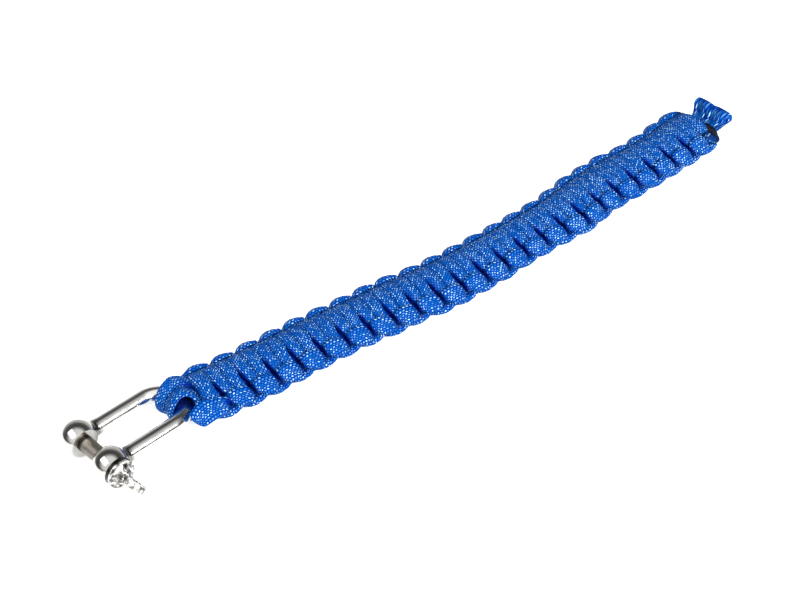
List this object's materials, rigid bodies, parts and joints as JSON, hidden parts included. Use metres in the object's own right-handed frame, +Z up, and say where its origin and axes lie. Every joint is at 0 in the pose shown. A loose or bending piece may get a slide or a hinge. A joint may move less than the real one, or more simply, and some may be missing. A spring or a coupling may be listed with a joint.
{
  "type": "paracord bracelet",
  "caption": "Woven cord bracelet in a cobra weave, laid open, with a D-shackle and screw pin at one end and a cord loop at the other.",
  "frame": {"origin": "on the surface it lies on, under the middle of the whole bracelet's box", "axes": "+X from the shackle to the free loop, +Y to the band's far side, away from the pin's tab, +Z up"},
  "size_m": [0.2573, 0.0337, 0.0141],
  "materials": {
    "cord": "royal blue braided nylon sheath, fine diamond braid with a soft sheen",
    "melted_cord": "nylon melted to a dark, slightly glossy drop",
    "polished_steel": "mirror-polished stainless steel",
    "dull_steel": "satin stainless steel with fine turning marks"
  },
  "bodies": {
    "band": {"woven_band": "cord", "hitch_loop_near": "cord", "hitch_loop_far": "cord", "end_loop_near": "cord", "end_loop_far": "cord", "melted_tip": "melted_cord"},
    "shackle": {"shackle_bow": "polished_steel"},
    "pin": {"shackle_pin": "dull_steel"}
  },
  "joints": [
    {"name": "shackle_swing", "type": "hinge", "parent": "band", "child": "shackle", "pos_m": [-0.09172, 0.00747, 0.0055], "axis": [-0.0872, 0.9962, 0], "range_deg": [-60, 60]},
    {"name": "pin_withdraw", "type": "slide", "parent": "shackle", "child": "pin", "axis": [0.0872, -0.9962, 0], "range_m": [0, 0.022]}
  ]
}
